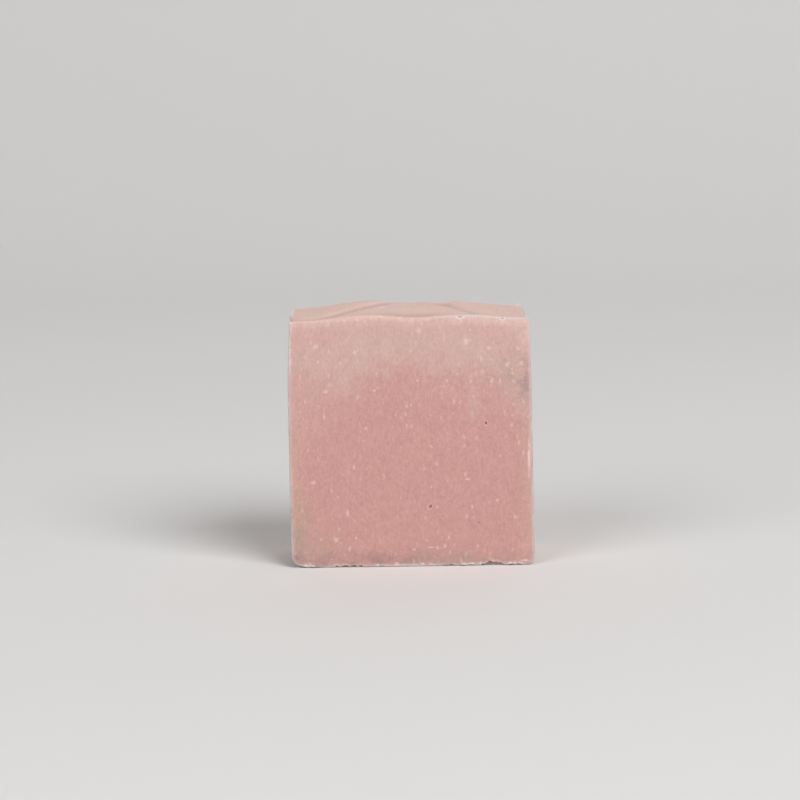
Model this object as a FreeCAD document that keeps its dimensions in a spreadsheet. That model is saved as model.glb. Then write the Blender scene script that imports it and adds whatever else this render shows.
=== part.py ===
import FreeCAD, Part
import math
import os
import Sketcher
from FreeCAD import Vector

# A handmade bar of soap, one slice of a loaf, standing on the face that lay at the bottom of the
# mould. X runs across the slice, Y through its thickness from the front cut (-Y) to the back cut,
# and Z up. The origin is at the middle of the base. Every size is in millimetres or degrees.

SIZES = [
    ("bar_width", 70.0, "across the base, from side to side"),
    ("bar_thickness", 25.0, "between the two knife cuts"),
    ("left_corner_radius", 4.0, "bottom edge of the mould on the left"),
    ("right_corner_radius", 2.2, "bottom edge of the mould on the right"),
    ("left_bow_start", 50.0, "height at which the left side begins to bow inwards"),
    ("left_bow_radius", 260.0, "radius of that bow"),
    ("right_draft", 0.7, "lean of the right side, in degrees"),
    ("shelf_height", 71.45, "level that the crust falls towards at the two sides"),
    ("batter_over_shelf", 8.55, "mould section above that level, before the crust is shaped"),
    ("crown_across", -1.4, "middle of the crown, which sits left of the bar's own middle"),
    ("crown_half_width", 21.8, "from there to where the crown has fallen by half"),
    ("crown_power", 4.8, "2 gives a gentle crown and more gives a flatter one with steeper ends"),
    ("crown_front_rise", 1.95, "crown above that level at the front cut"),
    ("crown_back_rise", 2.55, "crown above that level at the back cut"),
    ("fold_step", 0.55, "how far a folded lobe stands above the batter it lies on"),
    ("fold_roll", 2.6, "width of the rolled lip of a lobe"),
    ("fold_growth", 5.0, "distance from the front cut over which the lobes reach their height"),
    ("crease_depth", 0.25, "crease under the lip of a lobe"),
    ("crease_width", 1.3, "half width of that crease"),
    ("crease_growth", 3.0, "distance from the front cut over which the creases reach their depth"),
    ("left_fold_start", -29.0, "where the left fold leaves the front cut"),
    ("left_fold_run", 25.5, "distance across over which it reaches the back cut"),
    ("left_fold_power", 1.05, "how late it turns towards the back"),
    ("right_fold_middle", 14.5, "where the right fold is halfway through the slice"),
    ("right_fold_power", 3.6, "how sharply it turns along the front cut"),
    ("hollow_across", 2.8, "middle of the hollow between the folds, at the front cut"),
    ("hollow_half_width", 9.0, "half width of that hollow"),
    ("hollow_depth", 0.89, "depth of that hollow at the front cut"),
    ("hollow_reach", 8.0, "how far it runs back from the front cut"),
    ("valley_across", 0.5, "middle of the shallow valley behind the front lip"),
    ("valley_half_width", 8.0, "half width of that valley"),
    ("valley_from_front", 4.5, "how far behind the front cut it is deepest"),
    ("valley_reach", 2.4, "how far it spreads before and behind that"),
    ("valley_depth", 0.35, "depth of that valley"),
    ("saddle_across", 0.4, "dip between the two lobes at the back cut"),
    ("saddle_half_width", 2.4, "half width of that dip"),
    ("saddle_depth", 0.32, "depth of that dip at the back cut"),
    ("saddle_reach", 10.0, "how far it runs forward from the back cut"),
    ("notch_across", 10.6, "small notch in the back of the right lobe"),
    ("notch_half_width", 2.4, "half width of that notch"),
    ("notch_depth", 0.95, "depth of that notch at the back cut"),
    ("notch_reach", 12.0, "how far it runs forward from the back cut"),
    ("shoulder_front_radius", 1.2, "rounding of the crust over the right side at the front cut"),
    ("shoulder_back_radius", 2.6, "the same rounding at the back cut"),
    ("grid_step", 1.2, "spacing of the points that carry the crust surface"),
    ("grid_margin", 2.0, "how far the crust surface runs past the slice"),
    ("upper_pinhole_across", 21.3, "air bubble cut open, right of the middle"),
    ("upper_pinhole_up", 41.6, "its height"),
    ("upper_pinhole_radius", 0.38, "its radius"),
    ("lower_pinhole_across", 5.2, "air bubble cut open, below the middle"),
    ("lower_pinhole_up", 17.5, "its height"),
    ("lower_pinhole_radius", 0.45, "its radius"),
    ("small_pinhole_across", 19.0, "smallest air bubble, low on the right"),
    ("small_pinhole_up", 12.6, "its height"),
    ("small_pinhole_radius", 0.22, "its radius"),
    ("pinhole_stretch", 1.6, "depth of a pinhole as a share of its radius"),
    ("corner_chip_across", 22.8, "crumb broken off the bottom edge near the right corner"),
    ("corner_chip_half_width", 2.5, "its half width"),
    ("corner_chip_rise", 1.1, "its height up the front face"),
    ("corner_chip_depth", 0.9, "how far it runs into the base"),
    ("middle_chip_across", 10.3, "shallower crumb nearer the middle"),
    ("middle_chip_half_width", 1.5, "its half width"),
    ("middle_chip_rise", 0.45, "its height up the front face"),
    ("middle_chip_depth", 0.6, "how far it runs into the base"),
    ("left_chip_across", -17.5, "row of small crumbs on the left, taken as one shallow chip"),
    ("left_chip_half_width", 3.6, "its half width"),
    ("left_chip_rise", 0.3, "its height up the front face"),
    ("left_chip_depth", 0.5, "how far it runs into the base"),
    ("burr_inset", 1.1, "middle of the skin that hangs over the left side, in from the base's edge"),
    ("burr_through", 2.0, "the same middle, through the slice"),
    ("burr_skin", 0.2, "crust left above it"),
    ("burr_reach", 0.6, "half its width, most of it outside the side"),
    ("burr_half_length", 9.0, "half its length through the slice"),
    ("burr_half_height", 0.7, "half its height"),
]

doc = FreeCAD.newDocument("soap")


def add_sheet():
    """Puts every size in a spreadsheet cell with an alias, which the sketches and solids read."""
    sheet = doc.addObject("Spreadsheet::Sheet", "Sizes")
    for row, (alias, value, meaning) in enumerate(SIZES, start=1):
        sheet.set(f"A{row}", meaning)
        sheet.set(f"B{row}", str(value))
        sheet.setAlias(f"B{row}", alias)
    doc.recompute()
    return sheet


sheet = add_sheet()


def size(alias):
    return float(sheet.get(alias))


def mould_section(body):
    """Outline of the loaf across the mould: flat base, two rounded corners, leaning sides."""
    half, height = size("bar_width") / 2, size("shelf_height") + size("batter_over_shelf")
    left_radius, right_radius = size("left_corner_radius"), size("right_corner_radius")
    bow_start, bow_radius = size("left_bow_start"), size("left_bow_radius")
    draft = math.radians(size("right_draft"))
    right_centre = Vector(half - right_radius, right_radius)
    right_start = right_centre + Vector(math.cos(draft), math.sin(draft)) * right_radius
    right_top = Vector(right_start.x - (height - right_start.y) * math.tan(draft), height)
    bow_centre = Vector(bow_radius - half, bow_start)
    bow_end = math.pi - math.asin((height - bow_start) / bow_radius)
    left_top = bow_centre + Vector(math.cos(bow_end), math.sin(bow_end)) * bow_radius
    left_centre = Vector(left_radius - half, left_radius)
    up = Vector(0, 0, 1)

    sketch = body.newObject("Sketcher::SketchObject", "MouldSection")
    plane = next(f for f in body.Origin.OriginFeatures if f.Role == "XZ_Plane")
    sketch.AttachmentSupport = [(plane, "")]
    sketch.MapMode = "FlatFace"
    base = sketch.addGeometry(Part.LineSegment(Vector(left_centre.x, 0), Vector(right_centre.x, 0)))
    right_corner = sketch.addGeometry(
        Part.ArcOfCircle(Part.Circle(right_centre, up, right_radius), -math.pi / 2, draft)
    )
    right_side = sketch.addGeometry(Part.LineSegment(right_start, right_top))
    top = sketch.addGeometry(Part.LineSegment(right_top, left_top))
    left_bow = sketch.addGeometry(
        Part.ArcOfCircle(Part.Circle(bow_centre, up, bow_radius), bow_end, math.pi)
    )
    left_side = sketch.addGeometry(
        Part.LineSegment(Vector(-half, bow_start), Vector(-half, left_radius))
    )
    left_corner = sketch.addGeometry(
        Part.ArcOfCircle(Part.Circle(left_centre, up, left_radius), math.pi, 1.5 * math.pi)
    )

    start, end, middle = 1, 2, 3
    root, x_axis = -1, -1
    sketch.addConstraint(
        [
            Sketcher.Constraint("Tangent", base, end, right_corner, start),
            Sketcher.Constraint("Tangent", right_corner, end, right_side, start),
            Sketcher.Constraint("Coincident", right_side, end, top, start),
            Sketcher.Constraint("Coincident", top, end, left_bow, start),
            Sketcher.Constraint("Tangent", left_bow, end, left_side, start),
            Sketcher.Constraint("Tangent", left_side, end, left_corner, start),
            Sketcher.Constraint("Tangent", left_corner, end, base, start),
            Sketcher.Constraint("PointOnObject", base, start, x_axis),
            Sketcher.Constraint("Horizontal", base),
            Sketcher.Constraint("Horizontal", top),
            Sketcher.Constraint("Vertical", left_side),
        ]
    )

    def bind(kind, geometry, value, name, expression):
        index = sketch.addConstraint(Sketcher.Constraint(kind, *geometry, value))
        sketch.renameConstraint(index, name)
        sketch.setExpression(f"Constraints.{name}", expression)

    bind("Radius", (right_corner,), right_radius, "RightRadius", "Sizes.right_corner_radius")
    bind("Radius", (left_corner,), left_radius, "LeftRadius", "Sizes.left_corner_radius")
    bind("Radius", (left_bow,), bow_radius, "BowRadius", "Sizes.left_bow_radius")
    bind(
        "DistanceX", (root, 1, right_corner, middle), right_centre.x, "RightEdge",
        "Sizes.bar_width / 2 - Sizes.right_corner_radius",
    )
    bind(
        "DistanceX", (left_side, end, root, 1), half, "LeftEdge",
        "Sizes.bar_width / 2",
    )
    bind("DistanceY", (root, 1, left_bow, end), bow_start, "BowStart", "Sizes.left_bow_start")
    bind(
        "DistanceY", (root, 1, top, end), height, "SectionHeight",
        "Sizes.shelf_height + Sizes.batter_over_shelf",
    )
    bind(
        "Angle", (right_side,), math.pi / 2 + draft, "RightDraft",
        "90 deg + Sizes.right_draft * 1 deg",
    )
    return sketch


def slice_of_loaf():
    """The mould section, cut to the bar's thickness with the two cuts either side of the middle."""
    body = doc.addObject("PartDesign::Body", "Slice")
    section = mould_section(body)
    pad = body.newObject("PartDesign::Pad", "BetweenCuts")
    pad.Profile = section
    pad.Midplane = True
    pad.setExpression("Length", "Sizes.bar_thickness")
    section.Visibility = False
    doc.recompute()
    return body


def ramp(distance, width):
    """0 before a fold, 1 past its rolled lip, and smooth between."""
    share = min(max(distance / width, 0.0), 1.0)
    return share * share * (3 - 2 * share)


def bell(distance, half_width):
    return math.exp(-((distance / half_width) ** 2))


def left_fold_line(x):
    """Y of the left fold, which runs from the front cut on the left to the back cut."""
    share = max(x - size("left_fold_start"), 0.0) / size("left_fold_run")
    return size("bar_thickness") * (share ** size("left_fold_power") - 0.5)


def right_fold_line(x):
    """Y of the right fold, which runs from the back cut and then along the front cut."""
    share = max(x, 0.0) / size("right_fold_middle")
    return size("bar_thickness") * (1 / (1 + share ** size("right_fold_power")) - 0.5)


def behind(fold_line, x, y):
    """Distance in plan from a fold to a point, positive behind the fold."""
    nudge = 0.5
    slope = (fold_line(x + nudge) - fold_line(x - nudge)) / (2 * nudge)
    return (y - fold_line(x)) / math.hypot(1, slope)


def dip_from_back(name, x, from_back):
    """Depth of a dip that is deepest at the back cut and runs out towards the front."""
    depth = size(f"{name}_depth") * bell(x - size(f"{name}_across"), size(f"{name}_half_width"))
    return depth * (1 - ramp(from_back, size(f"{name}_reach")))


def crust_height(x, y):
    """Height of the crust: a crowned top, with one lobe folded in from each side."""
    from_front = max(y + size("bar_thickness") / 2, 0.0)
    from_back = max(size("bar_thickness") / 2 - y, 0.0)
    share = from_front / size("bar_thickness")
    rise = size("crown_front_rise") * (1 - share) + size("crown_back_rise") * share
    across = abs(x - size("crown_across")) / size("crown_half_width")
    crown = rise / (1 + across ** size("crown_power"))

    past_left, past_right = behind(left_fold_line, x, y), behind(right_fold_line, x, y)
    lobes = max(ramp(past_left, size("fold_roll")), ramp(past_right, size("fold_roll")))
    below = size("fold_step") * (1 - lobes) * ramp(from_front, size("fold_growth"))
    creases = max(bell(past_left, size("crease_width")), bell(past_right, size("crease_width")))
    below += size("crease_depth") * creases * ramp(from_front, size("crease_growth"))

    hollow = size("hollow_depth") * bell(x - size("hollow_across"), size("hollow_half_width"))
    hollow *= (1 - lobes) * bell(from_front, size("hollow_reach"))
    valley = size("valley_depth") * bell(x - size("valley_across"), size("valley_half_width"))
    valley *= bell(from_front - size("valley_from_front"), size("valley_reach"))
    dips = dip_from_back("saddle", x, from_back) + dip_from_back("notch", x, from_back)
    return size("shelf_height") + crown - below - hollow - valley - dips


def stations(half_length):
    """Evenly spaced places from end to end of the crust surface, past the slice both ways."""
    reach = half_length + size("grid_margin")
    count = math.ceil(2 * reach / size("grid_step"))
    return [reach * (2 * i / count - 1) for i in range(count + 1)]


def air_above_crust():
    """Everything over the crust, as a solid to take away from the slice."""
    heights = [
        [Vector(x, y, crust_height(x, y)) for y in stations(size("bar_thickness") / 2)]
        for x in stations(size("bar_width") / 2)
    ]
    surface = Part.BSplineSurface()
    surface.interpolate(heights)
    air = doc.addObject("Part::Feature", "AirAboveCrust")
    air.Shape = surface.toShape().extrude(Vector(0, 0, 2 * size("batter_over_shelf")))
    return air


def cut(name, base, tool):
    result = doc.addObject("Part::Cut", name)
    result.Base = base
    result.Tool = tool
    doc.recompute()
    return result


def round_shoulder(base):
    """Rounds the crust where the batter sank along the right side of the mould."""
    low, far_right = size("shelf_height") / 2, size("bar_width") / 4
    shoulder = next(
        number
        for number, edge in enumerate(base.Shape.Edges, start=1)
        if all(end.Z > low and end.X > far_right for end in edge.Vertexes)
        and edge.Length > size("bar_thickness") / 2
        and abs(edge.Vertexes[0].Z - edge.Vertexes[-1].Z) < size("shoulder_front_radius")
    )
    fillet = doc.addObject("Part::Fillet", "RoundedShoulder")
    fillet.Base = base
    starts_at_front = base.Shape.Edges[shoulder - 1].firstVertex().Y < 0
    radii = (size("shoulder_front_radius"), size("shoulder_back_radius"))
    fillet.Edges = [(shoulder, *(radii if starts_at_front else reversed(radii)))]
    doc.recompute()
    return fillet


def ellipsoid(name, radii, place):
    """A hollow or a lump: radii along X, Y and Z and its centre, all as expressions."""
    solid = doc.addObject("Part::Ellipsoid", name)
    solid.setExpression("Radius2", radii[0])
    solid.setExpression("Radius3", radii[1])
    solid.setExpression("Radius1", radii[2])
    for axis, expression in zip("xyz", place):
        solid.setExpression(f"Placement.Base.{axis}", expression)
    return solid


def pinhole(name):
    """An air bubble that the knife opened on the front face."""
    radius = f"Sizes.{name}_radius"
    return ellipsoid(
        name.title().replace("_", ""),
        (radius, f"{radius} * Sizes.pinhole_stretch", radius),
        (f"Sizes.{name}_across", "-Sizes.bar_thickness / 2", f"Sizes.{name}_up"),
    )


def chip(name):
    """A crumb broken off the bottom edge of the front face."""
    return ellipsoid(
        name.title().replace("_", ""),
        (f"Sizes.{name}_half_width", f"Sizes.{name}_depth", f"Sizes.{name}_rise"),
        (f"Sizes.{name}_across", "-Sizes.bar_thickness / 2", "0"),
    )


def crust_burr():
    """Skin of the crust that hangs over the left side."""
    return ellipsoid(
        "CrustBurr",
        ("Sizes.burr_reach", "Sizes.burr_half_length", "Sizes.burr_half_height"),
        (
            "-Sizes.bar_width / 2 + Sizes.burr_inset",
            "Sizes.burr_through",
            "Sizes.shelf_height - Sizes.burr_half_height - Sizes.burr_skin",
        ),
    )


slice_body = slice_of_loaf()
crusted = cut("CrustedSlice", slice_body, air_above_crust())
with_burr = doc.addObject("Part::Fuse", "SliceWithBurr")
with_burr.Base = round_shoulder(crusted)
with_burr.Tool = crust_burr()
doc.recompute()
hollows = doc.addObject("Part::MultiFuse", "PinholesAndChips")
hollows.Shapes = [
    *(pinhole(name) for name in ("upper_pinhole", "lower_pinhole", "small_pinhole")),
    *(chip(name) for name in ("corner_chip", "middle_chip", "left_chip")),
]
doc.recompute()
bar = cut("SoapBar", with_burr, hollows)
bar.Label = "soap_bar"

for item in doc.Objects:
    if "Invalid" in item.State or "Error" in item.State:
        raise RuntimeError(f"{item.Name} failed: {item.State}")
if bar.Shape.isNull() or not bar.Shape.isValid() or len(bar.Shape.Solids) != 1:
    raise RuntimeError("the bar isn't one valid solid")

os.makedirs("parts", exist_ok=True)
bar.Shape.exportStep(f"parts/{bar.Label}.step")
box = bar.Shape.optimalBoundingBox()
print(f"{bar.Label}: {box.XLength:.2f} x {box.YLength:.2f} x {box.ZLength:.2f} mm")
print(f"x {box.XMin:.3f} to {box.XMax:.3f}, z {box.ZMin:.3f} to {box.ZMax:.3f}")
print(f"volume {bar.Shape.Volume / 1000:.2f} cm3, {len(bar.Shape.Faces)} faces")
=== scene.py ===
import math
import random

import bmesh
import bpy
from mathutils import Euler, Matrix, Vector, noise
from mathutils.bvhtree import BVHTree


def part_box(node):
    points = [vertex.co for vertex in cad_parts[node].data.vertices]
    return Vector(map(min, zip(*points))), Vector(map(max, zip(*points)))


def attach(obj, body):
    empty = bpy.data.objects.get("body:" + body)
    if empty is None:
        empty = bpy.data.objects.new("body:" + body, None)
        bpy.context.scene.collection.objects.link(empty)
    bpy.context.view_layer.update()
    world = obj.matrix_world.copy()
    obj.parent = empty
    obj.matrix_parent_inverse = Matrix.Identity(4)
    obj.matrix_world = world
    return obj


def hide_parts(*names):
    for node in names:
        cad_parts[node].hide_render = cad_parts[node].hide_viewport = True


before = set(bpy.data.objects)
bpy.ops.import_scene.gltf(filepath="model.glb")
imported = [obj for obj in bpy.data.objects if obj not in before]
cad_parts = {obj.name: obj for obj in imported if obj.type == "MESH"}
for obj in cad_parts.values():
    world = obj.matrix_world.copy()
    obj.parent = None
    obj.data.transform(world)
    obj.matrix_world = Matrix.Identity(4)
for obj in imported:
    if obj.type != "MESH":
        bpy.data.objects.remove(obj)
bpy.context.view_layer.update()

# The view
# A bar that stands on a table about 0.85 m away, seen with a long lens from a little above its
# top, with the camera very slightly tilted to one side.
EYE = (-0.0031, -0.8455, 0.2060)
LOOK_DOWN = math.radians(10.69)
TILT = math.radians(-0.84)
FIELD_OF_VIEW = math.radians(15.27)


def place_camera():
    camera = bpy.data.objects.new("camera", bpy.data.cameras.new("camera"))
    camera.data.sensor_width = 36.0
    camera.data.angle = FIELD_OF_VIEW
    camera.data.clip_start = 0.01
    level = Euler((math.pi / 2 - LOOK_DOWN, 0, 0)).to_matrix()
    camera.rotation_euler = (level @ Matrix.Rotation(TILT, 3, "Z")).to_euler()
    camera.location = EYE
    bpy.context.scene.collection.objects.link(camera)
    bpy.context.scene.camera = camera


place_camera()

# The bar of soap
# One slice of a loaf of cold-process soap. The batter set against the mould at its sides and
# base, its folded top dried in the air, and a wire cut the two large faces.
MM = 0.001
low_corner, high_corner = (Vector(corner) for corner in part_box("soap_bar"))
HALF_WIDTH = (high_corner.x - low_corner.x) / 2
HALF_THICK = (high_corner.y - low_corner.y) / 2
HEIGHT = high_corner.z
SKIN = 0.01 * MM
# How finely the mesh is divided, and how closely its quads crowd towards the bar's edges.
CUTS_ACROSS, CUTS_THROUGH, CUTS_UP = 149, 39, 119
CROWDING = 0.4
# Roundings of the section's corners, and the heights between which its sides are probed.
MOULD_LEFT_RADIUS, MOULD_RIGHT_RADIUS = 4.0 * MM, 2.2 * MM
CRUST_LEFT_RADIUS = 0.5 * MM
CRUST_RIGHT_FRONT_RADIUS, CRUST_RIGHT_BACK_RADIUS = 1.2 * MM, 1.4 * MM
SIDE_TOP = 71.0 * MM
# The crust: where the block starts to stretch to it, how far it is blurred, and how close to
# the two ends of the solid it is probed.
CRUST_ROOT = 50 * MM
CRUST_BLUR = 0.8 * MM
LEFT_END_ROOM = 2 * MM
RIGHT_END_ROOM = 0.9 * MM
# How far its ends lean in, its skin hangs over the left side and its front lip stands up.
RIGHT_LEAN = 1.2 * MM
LEFT_LEAN = 0.7 * MM
LEFT_SKIN = 0.25 * MM
LEFT_SKIN_HEIGHT = 71.1 * MM
LIP_RISE = 0.4 * MM
# The lower left corner of the front is worn a little flatter, about that place across.
FOOT_LIFT = 0.25 * MM
FOOT_PLACE = -31.8 * MM
# Bands under the crust: the worn and pale edge, and the dried skin on the faces.
EDGE_BAND = 4 * MM
DRIED_BAND = 5 * MM
# Rounding of the worn edges, its unevenness, and what a soft lip adds to it.
ARRIS_RADIUS, ARRIS_UNEVENNESS = 0.42, 0.22
SOFT_FRONT_LIP = 1.1 * MM
SOFT_BACK_LIP = 0.3 * MM
# How wide the pale line along the edges is: partly wear, partly a painted sheen.
WORN_AND_SHEEN_WIDTH = 0.75 * MM
# How far the whole surface is held inside the solid, so that its waves don't pass it.
HELD_BACK = 0.06 * MM


def solid_of_bar():
    """The bar's solid, which rays are cast at to find its sides and its crust."""
    solid = bmesh.new()
    solid.from_mesh(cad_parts["soap_bar"].data)
    bmesh.ops.remove_doubles(solid, verts=solid.verts, dist=0.001 * MM)
    tree = BVHTree.FromBMesh(solid)
    solid.free()
    return tree


solid = solid_of_bar()


def clamp(value, low, high):
    return min(max(value, low), high)


def smooth(value, start, end):
    """0 before start, 1 past end, and smooth between."""
    share = clamp((value - start) / (end - start), 0.0, 1.0)
    return share * share * (3 - 2 * share)


def bell(distance, half_width):
    return math.exp(-((distance / half_width) ** 2))


def ripple(x, y, z, size):
    """Smooth noise about 0, with bumps of that size."""
    return noise.noise(Vector((x, y, z)) / size)


def crust_right_radius(y):
    share = clamp((y + HALF_THICK) / (2 * HALF_THICK), 0.0, 1.0)
    return CRUST_RIGHT_FRONT_RADIUS * (1 - share) + CRUST_RIGHT_BACK_RADIUS * share


def crust_height(x, y):
    """Height of the crust over a place on the base, blurred a little and level at the sides."""
    total = 0.0
    for step_x in (-1, 0, 1):
        for step_y in (-1, 0, 1):
            probe_y = clamp(y + step_y * CRUST_BLUR, -HALF_THICK + SKIN, HALF_THICK - SKIN)
            right_end = HALF_WIDTH - crust_right_radius(probe_y) - RIGHT_END_ROOM
            probe_x = clamp(x + step_x * CRUST_BLUR, -HALF_WIDTH + LEFT_END_ROOM, right_end)
            start = Vector((probe_x, probe_y, 2 * HEIGHT))
            total += solid.ray_cast(start, Vector((0, 0, -1)))[0].z
    return total / 9


def dip(x, y, reach):
    """How much lower the crust is at a place than that far away on its four sides."""
    beside = ((x + reach, y), (x - reach, y), (x, y + reach), (x, y - reach))
    return sum(crust_height(*place) for place in beside) / 4 - crust_height(x, y)


def side_reach(side, y, z):
    """How far the left (-1) or right (+1) side stands from the middle at a place on it."""
    y = clamp(y, -HALF_THICK + SKIN, HALF_THICK - SKIN)
    top = SIDE_TOP if side < 0 else SIDE_TOP - crust_right_radius(y)
    z = clamp(z, MOULD_LEFT_RADIUS, top)
    hit = solid.ray_cast(Vector((side * 2 * HALF_WIDTH, y, z)), Vector((-side, 0, 0)))[0]
    return abs(hit.x)


def divide(soap, inside, cuts):
    """Divides the faces of a region, so that a small mark has enough of them."""
    near = [e for e in soap.edges if all(inside(v.co) for v in e.verts)]
    bmesh.ops.subdivide_edges(soap, edges=near, cuts=cuts, use_grid_fill=True)


def fine_block():
    """A block of the bar's size in small quads, which crowd together near its edges."""
    block = bmesh.new()
    bmesh.ops.create_cube(block, size=1.0)
    for axis, cuts in enumerate((CUTS_ACROSS, CUTS_THROUGH, CUTS_UP)):
        along = [e for e in block.edges if abs((e.verts[0].co - e.verts[1].co)[axis]) > 0.5]
        bmesh.ops.subdivide_edges(block, edges=along, cuts=cuts, use_grid_fill=True)
    for vertex in block.verts:
        for axis in range(3):
            share = vertex.co[axis]
            vertex.co[axis] = share + CROWDING * math.sin(2 * math.pi * share) / (2 * math.pi)
    scale = Vector((2 * HALF_WIDTH, 2 * HALF_THICK, HEIGHT))
    bmesh.ops.scale(block, vec=scale, verts=block.verts)
    bmesh.ops.translate(block, vec=(0, 0, HEIGHT / 2), verts=block.verts)
    return block


def corner_of(x, y, z):
    """Centre and radius of the rounded corner of the section that a point is nearest to."""
    if z < HEIGHT / 2:
        radius = MOULD_LEFT_RADIUS if x < 0 else MOULD_RIGHT_RADIUS
    else:
        radius = CRUST_LEFT_RADIUS if x < 0 else crust_right_radius(y)
    centre_x = math.copysign(HALF_WIDTH - radius, x)
    centre_z = radius if z < HEIGHT / 2 else HEIGHT - radius
    return centre_x, centre_z, radius


def round_corners(point):
    """Moves a point of the block into the section's rounded corners."""
    centre_x, centre_z, _ = corner_of(*point)
    out_x = (point.x - centre_x) * math.copysign(1, point.x)
    out_z = (point.z - centre_z) * (-1 if point.z < HEIGHT / 2 else 1)
    if out_x > 0 and out_z > 0:
        pull = max(out_x, out_z) / math.hypot(out_x, out_z)
        point.x = centre_x + (point.x - centre_x) * pull
        point.z = centre_z + (point.z - centre_z) * pull


def rim_distance(point):
    """How deep in the section a point lies, and the way inwards from the nearest rim."""
    centre_x, centre_z, radius = corner_of(*point)
    side_x = math.copysign(1, point.x)
    side_z = -1 if point.z < HEIGHT / 2 else 1
    out_x, out_z = (point.x - centre_x) * side_x, (point.z - centre_z) * side_z
    if out_x > 0 and out_z > 0:
        length = math.hypot(out_x, out_z)
        return radius - length, Vector((-side_x * out_x, 0, -side_z * out_z)) / max(length, SKIN)
    if out_x > out_z:
        return radius - out_x, Vector((-side_x, 0, 0))
    return radius - out_z, Vector((0, 0, -side_z))


def crispness(x):
    """0 where the front lip stayed soft, 1 towards the right, where the wire left it crisp."""
    return smooth(x, 4 * MM, 14 * MM)


def arris_radius(x, y, z):
    """Rounding of the edges round the two cuts: uneven, and widest where the lip stayed soft."""
    radius = (ARRIS_RADIUS + ARRIS_UNEVENNESS * ripple(x, y, z, 5 * MM)) * MM
    near_crust = smooth(z, HEIGHT - EDGE_BAND, HEIGHT - EDGE_BAND / 2)
    along_lip = smooth(x, -32 * MM, -24 * MM) * (1 - smooth(x, 2 * MM, 10 * MM))
    soft_lip = SOFT_FRONT_LIP * along_lip if y < 0 else SOFT_BACK_LIP
    return radius + near_crust * soft_lip


def wear_arris(point):
    """Rounds the edge between a cut and the rim. Returns how near the point is to that edge."""
    depth, inwards = rim_distance(point)
    radius = arris_radius(*point)
    from_cut = HALF_THICK - abs(point.y)
    nearness = bell(max(depth, 0) + from_cut, WORN_AND_SHEEN_WIDTH)
    if depth < radius and from_cut < radius:
        length = math.hypot(radius - depth, radius - from_cut)
        reach = max(radius - depth, radius - from_cut) / length
        new_depth = radius - (radius - depth) * reach
        new_from_cut = radius - (radius - from_cut) * reach
        point += inwards * (new_depth - depth)
        point.y = math.copysign(HALF_THICK - new_from_cut, point.y)
    return nearness


def under_crust(z, top):
    """The block's upper part, squeezed or stretched to end at the crust."""
    share = max(z - CRUST_ROOT, 0.0) / (HEIGHT - CRUST_ROOT)
    return min(z, CRUST_ROOT) + share * (top - CRUST_ROOT)


def end_of_crust(x, y, z):
    """How far the crust's two ends lean in, and its dried skin stands over the left side."""
    from_front = y + HALF_THICK
    if x > 0:
        behind_cut = smooth(from_front, 0, 4 * MM)
        lean = smooth(x, 26 * MM, 34 * MM) * smooth(z, 66 * MM, 72 * MM)
        return -RIGHT_LEAN * lean * (0.3 + 0.7 * behind_cut)
    lean = smooth(from_front, 0.5 * MM, 1.5 * MM) * (1 - smooth(from_front, 3 * MM, 16 * MM))
    along = smooth(from_front, 2 * MM, 4.5 * MM) * (1 - smooth(y, 9 * MM, 12 * MM))
    lean *= LEFT_LEAN * smooth(z, 69 * MM, 71.2 * MM)
    skin = LEFT_SKIN * along * bell(z - LEFT_SKIN_HEIGHT, 0.7 * MM)
    return smooth(-x, 31 * MM, 34 * MM) * (lean - skin)


def crust_top(x, y):
    """Height of the crust, whose front lip stands up a little towards the right."""
    near_lip = 1 - smooth(y + HALF_THICK, 2 * MM, 7 * MM)
    return crust_height(x, y) + LIP_RISE * near_lip * smooth(x, 12 * MM, 20 * MM)


def lean_and_crown(point, was):
    """Moves a point of the block to the leaning sides and the folded crust."""
    block_z = point.z
    on_side = abs(was.x) > HALF_WIDTH - SKIN
    probe_y = point.y if on_side else math.copysign(HALF_THICK, point.y)
    level = under_crust(block_z, crust_top(point.x, point.y))
    point.x *= side_reach(math.copysign(1, was.x), probe_y, level) / HALF_WIDTH
    point.x += end_of_crust(point.x, point.y, level)
    point.z = under_crust(block_z, crust_top(point.x, point.y))


# Air bubbles that the wire opened on the front cut: place across and up, radius and depth.
PINHOLES = (
    (21.3, 41.6, 0.36, 0.50), (5.2, 17.5, 0.52, 0.32), (19.0, 12.6, 0.24, 0.30),
    (-2.1, 38.0, 0.26, 0.16),
)
# Crumbs torn out of the front cut's lower edge: place across, half width, height and depth.
LARGE_CRUMBS = (
    (20.3, 0.8, 0.55, 0.6), (21.3, 0.9, 0.90, 0.7), (22.5, 1.0, 1.30, 0.7),
    (23.6, 0.9, 1.15, 0.8), (24.7, 1.0, 0.90, 0.7), (25.8, 0.6, 0.50, 0.5),
    (9.6, 0.7, 0.40, 0.6), (11.0, 1.0, 0.55, 0.7), (27.8, 0.8, 0.40, 0.5),
    (-21.9, 0.6, 0.60, 0.6), (-19.6, 1.1, 0.65, 0.7), (-17.0, 1.0, 0.65, 0.7),
    (-15.0, 0.6, 0.60, 0.6), (-28.0, 3.0, 0.25, 0.5), (-8.7, 0.7, 0.45, 0.5),
)
# Stretches of that edge with rows of crumbs torn out: from, to, how many and largest size.
RAGGED_STRETCHES = (
    (-23.5, -14.0, 8, 0.5), (-10.0, -6.0, 3, 0.5), (8.5, 20.0, 9, 0.5), (20.0, 31.0, 9, 0.5),
)
# Stretches with crumbs that cling to it.
CLINGING_STRETCHES = ((-31.0, -28.5, 3), (11.5, 20.5, 14), (20.0, 31.5, 12), (-14.0, 8.0, 9))
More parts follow.
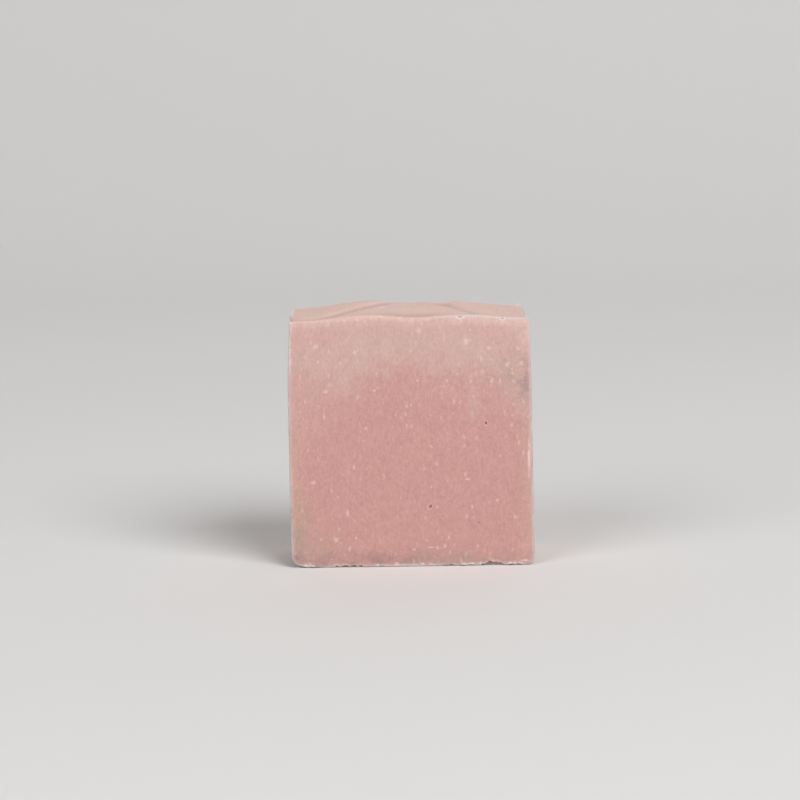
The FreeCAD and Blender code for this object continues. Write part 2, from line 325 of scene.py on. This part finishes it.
# Torn bubbles on the front cut's upper edge: place across and half width. Their middles lie
# that far below the edge, and pale torn soap hangs under each.
LIP_PITS = ((14.1, 1.0), (26.2, 0.6))
PIT_DROP, PIT_DEPTH, PIT_HALF_HEIGHT = 0.58, 0.35, 0.15
HANGING_SOAP = ((-0.8, 0.15), (0, 0.45), (0.8, 0.15))
# The ways in which a crumb or a bubble goes into the soap.
INTO_THE_BAR = Vector((0, 1, 0))
INTO_THE_EDGE = Vector((0, 0.8, 0.6))
# How far the pale lip of a torn crumb reaches, as a share of the crumb's size.
PALE_LIP = 0.7
# Burrs that stand out of the edges, and a small ridge on the crust, all painted pale, partly soda
# ash and partly a painted highlight: place, radius and the way out.
BURRS = (
    ((-34.4, -12.3, 71.2), 1.0, (-0.30, 0, 0.10)), ((35.0, -12.5, 17.9), 0.7, (0.25, 0, 0)),
    ((-35.0, -12.5, 48.1), 0.6, (-0.22, 0, 0)), ((31.2, 11.8, 72.0), 1.4, (0.05, 0, 0.45)),
    ((-8.0, 2.0, 73.2), 1.5, (0, 0, 0.14)), ((-34.3, 11.6, 71.9), 1.2, (-0.40, 0, 0.35)),
)


def scoop(verts, centre, radii, inwards, painted_shade):
    """Takes an egg-shaped crumb or bubble out of the soap: what lies in it moves to its far wall,
    painted shade darkens its inside and its rim is painted pale.
    """
    way = Vector((inwards.x / radii.x, inwards.y / radii.y, inwards.z / radii.z))
    for vertex in verts:
        offset = (vertex.co - centre) * (1 + 0.4 * ripple(*vertex.co, 0.7 * MM))
        inside = Vector((offset.x / radii.x, offset.y / radii.y, offset.z / radii.z))
        if max(abs(inside.x), abs(inside.y), abs(inside.z)) > 1 + PALE_LIP:
            continue
        if inside.length < 1:
            along = inside.dot(way)
            reach = math.sqrt(along ** 2 + way.length_squared * (1 - inside.length_squared))
            travel = (reach - along) / way.length_squared
            vertex.co += inwards * travel
            # Painted shade inside the hole, deeper where its wall lies further in.
            vertex[shade] = max(vertex[shade], painted_shade * smooth(travel, 0.0, 0.5 * radii.y))
        else:
            paleness = 0.7 * (1 - (inside.length - 1) / PALE_LIP)
            vertex[pale] = max(vertex[pale], paleness)


def bulge(verts, centre, radius, way_out, paleness):
    """Raises a burr, or a crumb that clings to the soap."""
    for vertex in verts:
        share = (vertex.co - centre).length / radius
        if share < 1:
            vertex.co += way_out * (1 - share ** 2) ** 2
            vertex[pale] = max(vertex[pale], paleness * (1 - share ** 2))


def pinhole(soap, x, z, radius, depth):
    mouth = Vector((x * MM, -HALF_THICK, z * MM))
    verts = [v for v in soap.verts if (v.co - mouth).length < 2 * MM]
    scoop(verts, mouth, Vector((radius, depth, radius)) * MM, INTO_THE_BAR, 0.5)


def tear_lower_edge(soap, draw):
    """Crumbs torn out of the edge where the wire left the loaf, and crumbs that cling to it."""
    edge = [v for v in soap.verts if v.co.z < 2.5 * MM and v.co.y < -HALF_THICK + 2.5 * MM]
    for start, end, count, largest in RAGGED_STRETCHES:
        for _ in range(count):
            size = draw.uniform(0.45, 1.0) * largest
            mouth = Vector((draw.uniform(start, end) * MM, -HALF_THICK - 0.05 * MM, 0))
            radii = Vector((draw.uniform(0.9, 1.8) * size, 1.2 * size, 0.85 * size)) * MM
            scoop(edge, mouth, radii, INTO_THE_EDGE, 0.45)
    for x, half_width, rise, depth in LARGE_CRUMBS:
        mouth = Vector((x * MM, -HALF_THICK, 0))
        scoop(edge, mouth, Vector((half_width, depth, rise)) * MM, INTO_THE_EDGE, 0.7)
    for start, end, count in CLINGING_STRETCHES:
        for _ in range(count):
            size = draw.uniform(0.4, 0.9) * MM
            place = Vector((draw.uniform(start, end) * MM, -HALF_THICK, draw.uniform(0.1, 0.7) * MM))
            way_out = Vector((draw.uniform(-0.2, 0.2), -0.35, 0.1)) * size
            bulge(edge, place, size, way_out, draw.uniform(0.3, 1.0))


def tear_upper_edge(soap):
    for x, half_width in LIP_PITS:
        top = crust_top(x * MM, -HALF_THICK)
        mouth = Vector((x * MM, -HALF_THICK, top - PIT_DROP * MM))
        verts = [v for v in soap.verts if (v.co - mouth).length < 3 * MM]
        radii = Vector((0.7 * half_width, PIT_DEPTH, PIT_HALF_HEIGHT)) * MM
        scoop(verts, mouth, radii, INTO_THE_BAR, 0.1)
        for across, drop in HANGING_SOAP:
            hanging = mouth + Vector((across * half_width, 0, -drop)) * MM
            bulge(verts, hanging, 0.6 * MM, Vector((0, -0.12 * MM, 0)), 1.0)


def relief(point, normal):
    """How far the surface stands proud of true: drag marks on the cuts, soft waves elsewhere."""
    x, y, z = point
    on_cut = smooth(abs(normal.y), 0.6, 0.9)
    waves = 0.05 * ripple(x, y, z, 9 * MM) + 0.03 * ripple(x, y, z, 3.5 * MM)
    drag = 0.012 * ripple(x, y, z / 5, 0.9 * MM) + 0.02 * ripple(x, y, z / 4, 4 * MM)
    grain = 0.012 * ripple(x, y, z, 0.8 * MM)
    wrinkles = 0.09 * ripple(x, 2 * y, z, 6 * MM) + 0.03 * ripple(x, y, z, 2.2 * MM)
    return (waves + on_cut * drag + grain + wrinkles * smooth(normal.z, 0.6, 0.9)) * MM


def in_edge_band(co):
    return co.z < 1.6 * MM and co.y < -HALF_THICK + 1.6 * MM and abs(co.x) < 33 * MM


def near_mark(co):
    """Whether a place on the front cut has a pinhole or a torn bubble beside it."""
    marks = [place[:2] for place in PINHOLES] + [(x, HEIGHT / MM - 0.8) for x, _ in LIP_PITS]
    return co.y < -HALF_THICK + 1.2 * MM and any(
        math.hypot(co.x - x * MM, co.z - z * MM) < 1.9 * MM for x, z in marks
    )


def flatten_foot(vertex, block_z):
    """Lifts the lowest part of the front's left corner, which is worn flatter."""
    x, y, _ = vertex.co
    lowest = (1 - smooth(block_z, 0.5 * MM, 3 * MM)) * (1 - smooth(y, -11 * MM, -4 * MM))
    vertex.co.z += FOOT_LIFT * lowest * bell(x - FOOT_PLACE, 2.0 * MM)


def mark_edge(vertex, block_z):
    """Marks the crust's edge: worn at the right, the sides and the back, with a painted highlight
    along the back, and pale at its left end, partly soda ash and partly a painted highlight.
    """
    x, y, _ = vertex.co
    if y < 0:
        side_rim = smooth(-x, 33.2 * MM, 34.0 * MM)
        vertex[near_arris] *= max(crispness(x), side_rim)
    else:
        # A painted highlight along the crust's back edge, in the colour of the worn line.
        vertex[near_arris] = max(vertex[near_arris], 0.9 * bell(HALF_THICK - y, 2.2 * MM))
    behind_cut = smooth(y, -HALF_THICK + 0.3 * MM, -HALF_THICK + 1.5 * MM)
    below_top = smooth(block_z, HEIGHT - EDGE_BAND, HEIGHT - 2.5 * MM)
    # The left end is painted pale: partly soda ash, partly a painted highlight.
    vertex[pale] = smooth(-x, 33.0 * MM, 33.9 * MM) * below_top * (0.4 + 0.6 * behind_cut)


def mark_crust(vertex):
    """Marks the crust itself, a painted highlight on its back rim, and painted shade in its creases,
    behind its lip and along the left of its lip.
    """
    x, y, _ = vertex.co
    from_front = y + HALF_THICK
    vertex[on_crust] = 1.0
    # A painted highlight along the crust's back rim.
    vertex[pale] = max(vertex[pale], 0.45 * bell(HALF_THICK - y, 1.5 * MM))
    # Painted shade in the hollow behind the lip, in the folds and along the left of the lip.
    behind_lip = bell(x + 0.5 * MM, 8 * MM) * bell(from_front - 4 * MM, 3.5 * MM)
    folds = dip(x, y, 1.5 * MM) / (0.60 * MM) + dip(x, y, 4 * MM) / (0.42 * MM)
    folds *= 0.3 + 0.7 * smooth(from_front, 1 * MM, 4 * MM)
    left_lip_shade = 0.7 * smooth(-x, 18 * MM, 25 * MM) * bell(from_front - 1.5 * MM, 1.2 * MM)
    vertex[crease_shade] = clamp(folds + behind_lip + left_lip_shade, 0.0, 1.2)


soap = fine_block()
divide(soap, in_edge_band, 1)
divide(soap, near_mark, 3)
near_arris = soap.verts.layers.float.new("arris")
on_crust = soap.verts.layers.float.new("crust")
crease_shade = soap.verts.layers.float.new("crease_shade")
shade = soap.verts.layers.float.new("shade")
pale = soap.verts.layers.float.new("pale")
for vertex in soap.verts:
    was = vertex.co.copy()
    round_corners(vertex.co)
    vertex[near_arris] = wear_arris(vertex.co)
    lean_and_crown(vertex.co, was)
    flatten_foot(vertex, was.z)
    if was.z > HEIGHT - EDGE_BAND:
        mark_edge(vertex, was.z)
    if was.z > HEIGHT - SKIN:
        mark_crust(vertex)
    elif was.z > HEIGHT - DRIED_BAND:
        dried = smooth(was.z, HEIGHT - 4.5 * MM, HEIGHT - 0.5 * MM)
        vertex[on_crust] = dried * (0.45 + 0.45 * crispness(vertex.co.x))

SEED = 7
draw = random.Random(SEED)
tear_lower_edge(soap, draw)
tear_upper_edge(soap)
for place in PINHOLES:
    pinhole(soap, *place)
# The burrs are painted pale: partly soda ash, partly a painted highlight.
for place, radius, way_out in BURRS:
    bulge(soap.verts, Vector(place) * MM, radius * MM, Vector(way_out) * MM, 0.8)
soap.normal_update()
standing_proud = {v: relief(v.co, v.normal) for v in soap.verts}
for vertex, height in standing_proud.items():
    vertex.co += vertex.normal * (height - HELD_BACK)
for vertex in soap.verts:
    vertex.co.z = max(vertex.co.z, 0.0)

bar_mesh = bpy.data.meshes.new("soap")
soap.to_mesh(bar_mesh)
soap.free()
bar_mesh.polygons.foreach_set("use_smooth", [True] * len(bar_mesh.polygons))
bar = bpy.data.objects.new("soap", bar_mesh)
bpy.context.scene.collection.objects.link(bar)


# The colour of the soap
# Pink clay in a pale base. The middle of the loaf kept its warmth and gelled to a deeper pink
# with a pale rim over it, the crust dried paler, and undissolved grains show as pale specks.
def colour(red, green, blue):
    """A paint colour given as it looks on a screen, from 0 to 255, for a shader socket."""
    def linear(share):
        return share / 12.92 if share <= 0.04045 else ((share + 0.055) / 1.055) ** 2.4
    return (*(linear(channel / 255) for channel in (red, green, blue)), 1.0)


def feed(tree, sockets, key, value):
    """Sets one input: to a number or colour, or to the socket that feeds it."""
    if isinstance(value, bpy.types.NodeSocket):
        tree.links.new(value, sockets[key])
    else:
        sockets[key].default_value = value


def add_node(tree, kind, inputs=None, **settings):
    made = tree.nodes.new(kind)
    for name, value in settings.items():
        setattr(made, name, value)
    for key, value in (inputs or {}).items():
        feed(tree, made.inputs, key, value)
    return made


def maths(tree, operation, first, second=0.0):
    return add_node(tree, "ShaderNodeMath", {0: first, 1: second}, operation=operation).outputs[0]


def blend(tree, share, under, over, kind="MIX"):
    """One colour laid over another."""
    inputs = {0: share, 6: under, 7: over}
    return add_node(
        tree, "ShaderNodeMix", inputs, data_type="RGBA", blend_type=kind
    ).outputs[2]


def between(tree, value, start, end):
    """0 at start and 1 at end, smooth between; start may be the larger."""
    inputs = {"Value": value, "From Min": start, "From Max": end}
    return add_node(
        tree, "ShaderNodeMapRange", inputs, interpolation_type="SMOOTHSTEP"
    ).outputs["Result"]


def new_group(name, inputs, outputs):
    tree = bpy.data.node_groups.new(name, "ShaderNodeTree")
    for label, kind in inputs:
        tree.interface.new_socket(label, in_out="INPUT", socket_type=kind)
    for label, kind in outputs:
        tree.interface.new_socket(label, in_out="OUTPUT", socket_type=kind)
    return tree, tree.nodes.new("NodeGroupInput").outputs, tree.nodes.new("NodeGroupOutput").inputs


def specks_group():
    """Round grains scattered through the soap: one in each cell, a share of them, uneven sizes."""
    tree, given, result = new_group(
        "Specks",
        (("Place", "NodeSocketVector"), ("Cells per metre", "NodeSocketFloat"),
         ("Largest", "NodeSocketFloat"), ("Share", "NodeSocketFloat")),
        (("Mask", "NodeSocketFloat"),),
    )
    cells = add_node(
        tree, "ShaderNodeTexVoronoi",
        {"Vector": given["Place"], "Scale": given["Cells per metre"], "Randomness": 0.9},
    )
    chance = add_node(tree, "ShaderNodeSeparateColor", {"Color": cells.outputs["Color"]}).outputs
    radius = maths(tree, "MULTIPLY", given["Largest"], chance[1])
    inside = between(tree, cells.outputs["Distance"], radius, maths(tree, "MULTIPLY", radius, 0.2))
    present = maths(tree, "LESS_THAN", chance[0], given["Share"])
    strength = maths(tree, "ADD", maths(tree, "MULTIPLY", chance[2], 0.7), 0.3)
    mask = maths(tree, "MULTIPLY", maths(tree, "MULTIPLY", inside, present), strength)
    tree.links.new(mask, result["Mask"])
    return tree


def patch_group():
    """A soft-edged oval area of the front cut: its middle and half sizes, in metres."""
    tree, given, result = new_group(
        "Patch",
        (("Place", "NodeSocketVector"), ("Middle", "NodeSocketVector"),
         ("Half size", "NodeSocketVector")),
        (("Mask", "NodeSocketFloat"),),
    )
    offset = add_node(
        tree, "ShaderNodeVectorMath", {0: given["Place"], 1: given["Middle"]}, operation="SUBTRACT"
    ).outputs[0]
    shares = add_node(
        tree, "ShaderNodeVectorMath", {0: offset, 1: given["Half size"]}, operation="DIVIDE"
    ).outputs[0]
    length = add_node(
        tree, "ShaderNodeVectorMath", {0: shares}, operation="LENGTH"
    ).outputs["Value"]
    tree.links.new(between(tree, length, 1.0, 0.2), result["Mask"])
    return tree


# The colours of the soap, as they look on a screen from 0 to 255. The first are those of the
# heart and the bands round it, each with its place from the middle to the bar's edge.
HEART_AND_BANDS = (
    (0.0, (206, 157, 150)), (0.18, (207, 160, 153)), (0.46, (212, 176, 167)),
    (0.60, (212, 176, 167)), (0.76, (213, 172, 165)), (0.95, (218, 184, 175)),
)
HEART_MIDDLE = (0, 0, 0.008)
HEART_RADIUS, BANDS_END = 0.040, 0.074
MOULDED_SKIN = (212, 173, 158)
CRUST = (229, 195, 184)
CREASE_SHADE = (184, 156, 146)
SMALL_GRAIN = (234, 208, 197)
LARGE_GRAIN = (232, 204, 193)
WORN_EDGE_AND_SHEEN = (216, 204, 208)
TORN_SOAP_AND_HIGHLIGHT = (238, 224, 220)
SHADE_IN_HOLES = (128, 92, 80)
# Layers of small grains: cells per metre, the largest grain as a share of its cell, how many of
# the cells have one, and how strong they look.
SMALL_GRAINS = ((600, 0.48, 0.80, 0.60), (1100, 0.50, 1.20, 0.50), (1900, 0.50, 1.40, 0.40))
# Areas of the front cut with a colour of their own, and areas of painted shade and highlights,
# marked below: middle across and up and half sizes in millimetres, strength and colour.
PATCHES = (
    (32.1, 56.0, 12.0, 12.0, 0.75, (189, 158, 149)),
    (34.0, 52.5, 6.0, 6.0, 0.60, (178, 146, 146)),
    (17.9, 47.1, 3.0, 9.0, 0.45, (216, 180, 173)),
    (-28.7, 50.9, 13.0, 14.0, 0.85, (208, 163, 155)),
    (-24.4, 67.0, 9.0, 5.0, 0.50, (211, 168, 161)),
    (20.3, 69.8, 15.0, 4.0, 0.50, (212, 170, 163)),
    # The next four rows: darker towards the bottom and the lower left, painted shade.
    (-34.0, 10.0, 9.0, 16.0, 0.85, (188, 158, 145)),
    (-27.0, 3.0, 17.0, 8.0, 0.70, (191, 159, 147)),
    (0.0, -2.0, 50.0, 9.0, 0.50, (186, 150, 141)),
    (0.0, -1.0, 60.0, 8.0, 0.90, (168, 134, 128)),
    (14.0, 0.0, 26.0, 7.0, 0.50, (196, 166, 150)),
    (-10.9, 8.6, 0.4, 9.0, 0.40, (186, 138, 131)),
    # The next two rows: painted highlights along the right and the left edge.
    (33.5, 32.5, 0.6, 9.5, 1.00, (232, 204, 194)),
    (-34.4, 63.0, 0.9, 9.0, 0.90, (234, 216, 212)),
    # The next three rows: painted shade in the lower left corner and along the lower left edge.
    (-34.5, 0.5, 6.0, 5.0, 1.00, (146, 120, 118)),
    (-33.0, 0.0, 6.0, 3.8, 0.90, (144, 118, 118)),
    (-34.9, 9.0, 0.9, 15.0, 0.70, (168, 148, 148)),
    # The next two rows: a painted highlight on the lower left corner, and painted light over the
    # upper right.
    (-30.6, 0.9, 2.2, 1.2, 1.00, (238, 224, 224)),
    (33.0, 67.0, 4.5, 9.0, 0.70, (226, 190, 181)),
    (-3.0, 0.4, 11.0, 0.6, 0.80, (228, 204, 198)),
    (32.0, 1.4, 2.2, 0.5, 0.85, (230, 212, 198)),
)
# How deep the patches and the largest grains run, and the half size under which a mark keeps
# its outline, in millimetres.
PATCH_DEPTH, GRAIN_DEPTH, THIN_MARK = 20, 2, 0.8
# The largest grains on the front cut: place across and up and half sizes, in millimetres.
LARGE_GRAINS = (
    (15.9, 65.4, 1.6, 1.6), (2.3, 68.6, 1.3, 1.3), (-24.3, 51.4, 1.1, 0.8), (0.4, 5.1, 0.5, 0.6),
    (-28.3, 25.0, 1.2, 0.6), (16.0, 25.5, 0.8, 0.8), (24.2, 19.2, 0.8, 0.8), (5.2, 5.6, 1.5, 0.4),
    (-18.5, 16.1, 0.7, 1.5), (29.3, 14.2, 0.6, 0.9), (-22.0, 8.2, 1.2, 1.2), (27.6, 58.6, 1.0, 1.0),
    (-15.7, 62.6, 1.0, 1.0), (30.7, 63.1, 0.8, 0.8), (-26.6, 64.3, 0.9, 0.9), (22.2, 63.5, 0.9, 0.9),
    (28.9, 56.0, 0.8, 0.8), (31.5, 58.8, 0.7, 1.0), (23.2, 54.0, 0.8, 0.8), (-24.8, 44.1, 0.5, 1.1),
    (-30.0, 48.5, 0.5, 0.9), (-16.5, 29.5, 0.5, 1.2), (9.2, 5.9, 0.5, 0.9), (-10.4, 51.6, 0.6, 0.6),
    (25.9, 70.5, 0.5, 1.2), (17.0, 68.7, 0.4, 0.5), (9.6, 67.1, 0.5, 0.5), (15.8, 65.4, 1.0, 1.1),
)


def soap_paint():
    material = bpy.data.materials.new("soap")
    material.use_nodes = True
    tree = material.node_tree
    place = add_node(tree, "ShaderNodeTexCoord").outputs["Object"]

    def attribute(name):
        return add_node(tree, "ShaderNodeAttribute", attribute_name=name).outputs["Fac"]

    def cloud(size, stretch=(1, 1, 1), detail=3.0, roughness=0.55):
        """Noise from 0 to 1 with features of that size in metres, drawn out along an axis."""
        drawn = add_node(
            tree, "ShaderNodeMapping", {"Vector": place, "Scale": stretch}
        ).outputs["Vector"]
        texture = add_node(
            tree, "ShaderNodeTexNoise",
            {"Vector": drawn, "Scale": 1 / size, "Detail": detail, "Roughness": roughness},
        )
        return texture.outputs["Fac"]

    def signed(value, strength):
        return maths(tree, "MULTIPLY", maths(tree, "SUBTRACT", value, 0.5), strength)

    def times(first, second):
        return maths(tree, "MULTIPLY", first, second)

    def plus(first, second):
        return maths(tree, "ADD", first, second)

    # Distance from the middle of the gelled heart, its edge broken up by slow noise.
    from_heart = add_node(
        tree, "ShaderNodeVectorMath", {0: place, 1: HEART_MIDDLE}, operation="SUBTRACT"
    ).outputs[0]
    flat = add_node(
        tree, "ShaderNodeVectorMath", {0: from_heart, 1: (1, 0.15, 1)}, operation="MULTIPLY"
    ).outputs[0]
    distance = add_node(
        tree, "ShaderNodeVectorMath", {0: flat}, operation="LENGTH"
    ).outputs["Value"]
    distance = plus(distance, signed(cloud(0.014), 0.020))
    distance = plus(distance, signed(cloud(0.0035), 0.009))
    distance = plus(distance, signed(cloud(0.0012, (1, 1, 0.3)), 0.006))
    reach = {"Value": distance, "From Min": HEART_RADIUS, "From Max": BANDS_END}
    ring = add_node(tree, "ShaderNodeMapRange", reach).outputs["Result"]
    bands = add_node(tree, "ShaderNodeValToRGB", {"Fac": ring})
    ramp = bands.color_ramp
    ramp.elements[0].position, ramp.elements[0].color = 0.0, colour(*HEART_AND_BANDS[0][1])
    last_position, last_tint = HEART_AND_BANDS[-1]
    ramp.elements[1].position, ramp.elements[1].color = last_position, colour(*last_tint)
    for position, tint in HEART_AND_BANDS[1:-1]:
        ramp.elements.new(position).color = colour(*tint)
    base = bands.outputs["Color"]

    # The moulded skin at the sides and the patches of the front cut, among them painted shade and
    # highlights.
    across = add_node(tree, "ShaderNodeSeparateXYZ", {0: place}).outputs["X"]
    near_side = between(tree, maths(tree, "ABSOLUTE", across), 0.029, 0.035)
    base = blend(tree, times(near_side, 0.5), base, colour(*MOULDED_SKIN))
    wander = add_node(
        tree, "ShaderNodeTexNoise", {"Vector": place, "Scale": 900.0, "Detail": 1.0}
    ).outputs["Color"]
    shift = add_node(
        tree, "ShaderNodeVectorMath", {0: wander, 1: (0.5, 0.5, 0.5)}, operation="SUBTRACT"
    ).outputs[0]

    def shifted(reach):
        """The place, moved about by up to that many metres, for uneven outlines."""
        inputs = {0: shift, 1: (reach, reach, reach), 2: place}
        return add_node(
            tree, "ShaderNodeVectorMath", inputs, operation="MULTIPLY_ADD"
        ).outputs[0]

    uneven, steady = shifted(0.0016), shifted(0.0005)
    patch = patch_group()
    patchy = plus(times(between(tree, cloud(0.0035), 0.40, 0.60), 0.7), 0.3)

    def area(x, z, half_width, half_height, depth):
        """Mask of an oval area about a place on the front cut, that deep into the bar."""
        thin = min(half_width, half_height) < THIN_MARK
        inputs = {
            "Place": steady if thin else uneven, "Middle": (x * MM, -HALF_THICK, z * MM),
            "Half size": (half_width * MM, depth * MM, half_height * MM),
        }
        return add_node(tree, "ShaderNodeGroup", node_tree=patch, inputs=inputs).outputs["Mask"]

    for x, z, half_width, half_height, strength, tint in PATCHES:
        mask = times(area(x, z, half_width, half_height, PATCH_DEPTH), strength)
        base = blend(tree, times(mask, patchy), base, colour(*tint))

    # The dried crust, and painted shade in its creases, behind its lip and along the left of its
    # lip.
    base = blend(tree, attribute("crust"), base, colour(*CRUST))
    base = blend(tree, times(attribute("crease_shade"), 0.42), base, colour(*CREASE_SHADE))

    # Mottling, the wire's drag marks and fine grain.
    light_and_dark = signed(cloud(0.004), 0.14)
    light_and_dark = plus(light_and_dark, signed(cloud(0.00055, (1, 1, 0.4)), 0.30))
    light_and_dark = plus(light_and_dark, signed(cloud(0.0008), 0.26))
    light_and_dark = plus(light_and_dark, 1.0)
    shares = add_node(
        tree, "ShaderNodeCombineColor", {0: light_and_dark, 1: light_and_dark, 2: light_and_dark}
    )
    base = blend(tree, 1.0, base, shares.outputs[0], kind="MULTIPLY")

    # Pale grains, drawn out a little by the wire and closer together at the upper right.
    specks = specks_group()
    drawn = add_node(tree, "ShaderNodeMapping", {"Vector": shifted(0.0009), "Scale": (1, 1, 0.55)})
    crowd = plus(times(cloud(0.010), 0.9), times(area(22, 56, 26, 18, 30), 0.6))
    for cells, largest, share, strength in SMALL_GRAINS:
        inputs = {
            "Place": drawn.outputs["Vector"], "Cells per metre": cells, "Largest": largest,
            "Share": times(crowd, share),
        }
        mask = add_node(tree, "ShaderNodeGroup", node_tree=specks, inputs=inputs).outputs["Mask"]
        base = blend(tree, times(mask, strength), base, colour(*SMALL_GRAIN))
    for x, z, half_width, half_height in LARGE_GRAINS:
        mask = times(area(x, z, half_width, half_height, GRAIN_DEPTH), 0.65)
        base = blend(tree, mask, base, colour(*LARGE_GRAIN))

    # The worn line along the edges, partly wear and partly a painted sheen; torn crumbs with pale
    # lips, and painted highlights on the burrs and the crust's rims; and painted shade inside the
    # holes.
    worn_and_sheen = times(attribute("arris"), plus(times(between(tree, cloud(0.003), 0.3, 0.6), 0.6), 0.4))
    base = blend(tree, times(worn_and_sheen, 0.75), base, colour(*WORN_EDGE_AND_SHEEN))
    base = blend(tree, times(attribute("pale"), 0.85), base, colour(*TORN_SOAP_AND_HIGHLIGHT))
    base = blend(tree, times(attribute("shade"), 0.9), base, colour(*SHADE_IN_HOLES))

    shader = tree.nodes["Principled BSDF"]
    tree.links.new(base, shader.inputs["Base Color"])
    tree.links.new(plus(signed(cloud(0.002), 0.15), 0.62), shader.inputs["Roughness"])
    shader.inputs["IOR"].default_value = 1.45
    shader.inputs["Subsurface Weight"].default_value = 0.15
    shader.inputs["Subsurface Radius"].default_value = (1.0, 0.6, 0.5)
    shader.inputs["Subsurface Scale"].default_value = 0.001
    fine = plus(cloud(0.0004), cloud(0.0006, (1, 1, 0.25)))
    bump = add_node(tree, "ShaderNodeBump", {"Height": fine, "Strength": 0.3, "Distance": 0.0001})
    tree.links.new(bump.outputs["Normal"], shader.inputs["Normal"])
    return material


bar.data.materials.append(soap_paint())
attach(bar, "root")
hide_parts("soap_bar")

# The table and the light
# A pale matt sheet that runs back along the table and curves up into a backdrop, a large soft
# lamp high on the right, a weaker one on the left and an even, dim room.
SHEET_COLOUR = (0.80, 0.79, 0.78, 1.0)
BEND_START = 0.50
BEND_RADIUS = 0.60
SHEET_HALF_LENGTH = 5.0
LAMP_SIZE = 1.6
KEY_PLACE, KEY_WATTS = (1.1, -1.4, 1.7), 45.0
FILL_PLACE, FILL_WATTS = (-1.3, -1.4, 1.4), 21.0
ROOM_LIGHT = 0.52


def pale_sheet():
    sheet = bmesh.new()
    bmesh.ops.create_grid(sheet, x_segments=1, y_segments=400, size=SHEET_HALF_LENGTH)
    for vertex in sheet.verts:
        past = vertex.co.y - BEND_START
        if past > 0:
            turn = min(past / BEND_RADIUS, math.pi / 2)
            climb = max(past - BEND_RADIUS * math.pi / 2, 0.0)
            vertex.co.y = BEND_START + BEND_RADIUS * math.sin(turn)
            vertex.co.z = BEND_RADIUS * (1 - math.cos(turn)) + climb
    mesh = bpy.data.meshes.new("sheet")
    sheet.to_mesh(mesh)
    sheet.free()
    mesh.polygons.foreach_set("use_smooth", [True] * len(mesh.polygons))
    stage = bpy.data.objects.new("sheet", mesh)
    bpy.context.scene.collection.objects.link(stage)
    matt = bpy.data.materials.new("sheet")
    matt.use_nodes = True
    surface = matt.node_tree.nodes["Principled BSDF"]
    surface.inputs["Base Color"].default_value = SHEET_COLOUR
    surface.inputs["Roughness"].default_value = 0.9
    mesh.materials.append(matt)


def soft_lamp(name, place, watts):
    lamp = bpy.data.objects.new(name, bpy.data.lights.new(name, "AREA"))
    lamp.data.shape = "DISK"
    lamp.data.size = LAMP_SIZE
    lamp.data.energy = watts
    lamp.location = place
    towards = Vector((0, 0, HEIGHT / 2)) - Vector(place)
    lamp.rotation_euler = towards.to_track_quat("-Z", "Y").to_euler()
    bpy.context.scene.collection.objects.link(lamp)


pale_sheet()
soft_lamp("key", KEY_PLACE, KEY_WATTS)
soft_lamp("fill", FILL_PLACE, FILL_WATTS)
world = bpy.data.worlds.new("room")
world.use_nodes = True
world.node_tree.nodes["Background"].inputs["Strength"].default_value = ROOM_LIGHT
bpy.context.scene.world = world
bpy.context.scene.view_settings.view_transform = "Standard"
